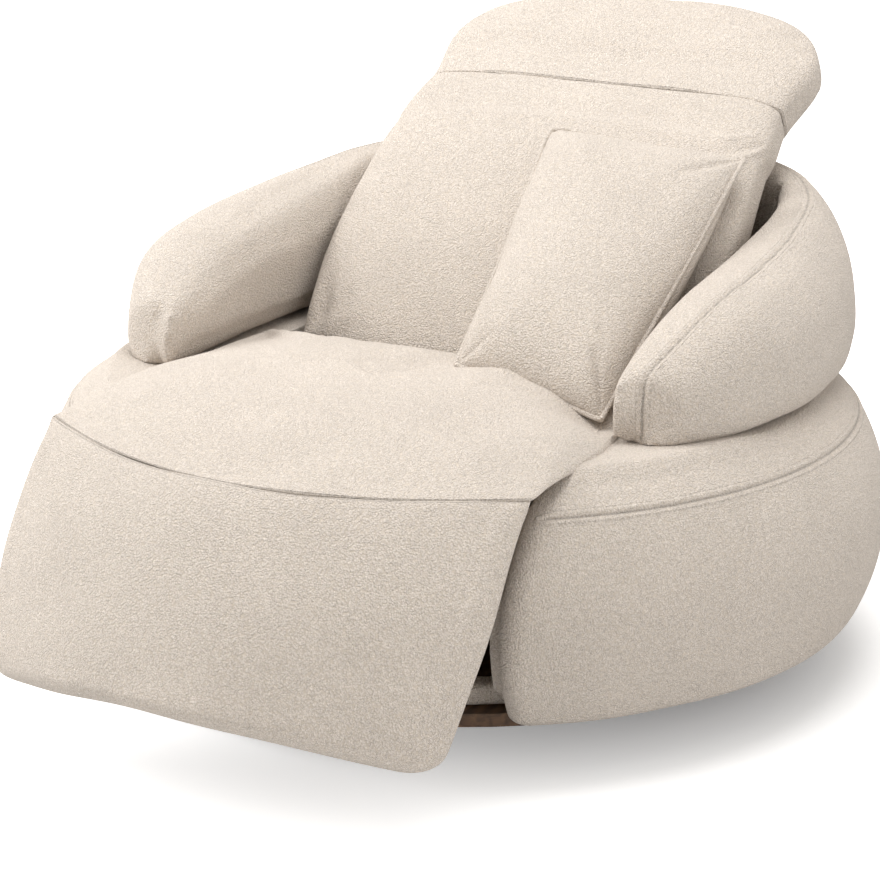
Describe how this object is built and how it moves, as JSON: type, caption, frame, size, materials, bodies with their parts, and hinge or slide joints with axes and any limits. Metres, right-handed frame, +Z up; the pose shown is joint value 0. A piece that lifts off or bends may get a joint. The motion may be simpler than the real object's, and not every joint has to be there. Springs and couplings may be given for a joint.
{
  "type": "home theater recliner",
  "caption": "Round swivel recliner in boucle: drum base with lobes, tub arms, a hinged flap footrest that opens as the seat slides out, a reclining back with a raised headrest and a loose lumbar pillow.",
  "frame": {"origin": "On the floor, under the swivel axis: the centre of the floor pad's lower face.", "axes": "+Z is up along the swivel axis. The sitter faces -Y, where the footrest opens. +X is the sitter's left."},
  "size_m": [1.1778, 1.3607, 0.8263],
  "materials": {
    "boucle": "warm off-white looped boucle",
    "frame_wood": "plain plywood and solid frame wood",
    "dark_wood": "dark brown stained board",
    "steel": "zinc plated steel",
    "black_steel": "black powder coat",
    "runner_nylon": "natural nylon",
    "motor_plastic": "black moulded plastic",
    "pad_rubber": "black non-slip rubber"
  },
  "bodies": {
    "floor_base": {"floor_pad": "pad_rubber", "floor_plate": "black_steel", "swivel_lower_race": "steel"},
    "platform": {"swivel_upper_race": "steel", "base_deck": "dark_wood", "base_drum_cover": "boucle", "base_rib_front_left": "frame_wood", "base_rib_rear_left": "frame_wood", "base_rib_rear_right": "frame_wood", "base_rib_front_right": "frame_wood", "inner_post_left": "boucle", "inner_post_right": "boucle", "front_rail": "boucle", "tub_pad": "boucle", "tub_frame": "frame_wood", "side_plate_left": "black_steel", "side_plate_right": "black_steel", "cross_tube_front": "steel", "cross_tube_rear": "steel", "footrest_motor": "motor_plastic"},
    "carriage": {"seat_runner_left": "runner_nylon", "seat_runner_right": "runner_nylon", "seat_rail_left": "frame_wood", "seat_rail_right": "frame_wood", "seat_rail_front": "frame_wood", "seat_rail_rear": "frame_wood", "seat_spring_1": "steel", "seat_spring_2": "steel", "seat_spring_3": "steel", "seat_spring_4": "steel", "seat_spring_5": "steel", "seat_cushion": "boucle", "footrest_knee": "boucle", "footrest_pivot_rod": "steel", "footrest_bracket_left": "black_steel", "footrest_bracket_right": "black_steel", "recline_motor": "motor_plastic", "back_bracket_left": "black_steel", "back_bracket_right": "black_steel"},
    "footrest": {"footrest_pad": "boucle", "footrest_board": "frame_wood", "footrest_arm_left": "black_steel", "footrest_arm_right": "black_steel", "footrest_drive_lever": "black_steel"},
    "footrest_rod": {"footrest_motor_rod": "steel"},
    "recline_rod": {"recline_motor_rod": "steel"},
    "back": {"back_arm_left": "black_steel", "back_arm_right": "black_steel", "recline_lever": "black_steel", "back_cushion": "boucle", "back_board": "frame_wood", "back_rear_cover": "boucle", "headrest_ratchet_base_left": "steel", "headrest_ratchet_base_right": "steel"},
    "headrest": {"headrest_cushion": "boucle", "headrest_board": "frame_wood", "headrest_ratchet_arm_left": "steel", "headrest_ratchet_arm_right": "steel"},
    "pillow": {"lumbar_pillow": "boucle"}
  },
  "joints": [
    {"name": "base_swivel", "type": "hinge", "parent": "floor_base", "child": "platform", "pos_m": [0, 0, 0], "axis": [0, 0, 1], "continuous": true},
    {"name": "seat_slide", "type": "slide", "parent": "platform", "child": "carriage", "axis": [0, -1, 0], "range_m": [-0.031, 0.038]},
    {"name": "footrest_hinge", "type": "hinge", "parent": "carriage", "child": "footrest", "pos_m": [0, -0.47, 0.3], "axis": [-1, 0, 0], "range_deg": [-34, 42], "deforming": ["footrest_knee"]},
    {"name": "footrest_motor_slide", "type": "slide", "parent": "platform", "child": "footrest_rod", "axis": [0, -1, 0], "range_m": [-0.073, 0.089]},
    {"name": "back_recline", "type": "hinge", "parent": "carriage", "child": "back", "pos_m": [0, 0.14, 0.326], "axis": [1, 0, 0], "range_deg": [0, 24]},
    {"name": "recline_motor_slide", "type": "slide", "parent": "carriage", "child": "recline_rod", "axis": [0, 1, 0], "range_m": [0, 0.04]},
    {"name": "headrest_tilt", "type": "hinge", "parent": "back", "child": "headrest", "pos_m": [0, 0.411, 0.71631], "axis": [1, 0, 0], "range_deg": [-12, 32]},
    {"name": "pillow_lean", "type": "hinge", "parent": "carriage", "child": "pillow", "pos_m": [0.1871, -0.1425, 0.4339], "axis": [0.9563, 0.2924, 0], "range_deg": [0, 19.3]}
  ],
  "couplings": [
    {"joint": "footrest_hinge", "follows": "seat_slide", "rad_per_m": 19},
    {"joint": "footrest_motor_slide", "follows": "seat_slide", "ratio": 2.3205},
    {"joint": "recline_motor_slide", "follows": "back_recline", "m_per_rad": 0.0935},
    {"joint": "pillow_lean", "follows": "back_recline", "ratio": 0.8}
  ]
}
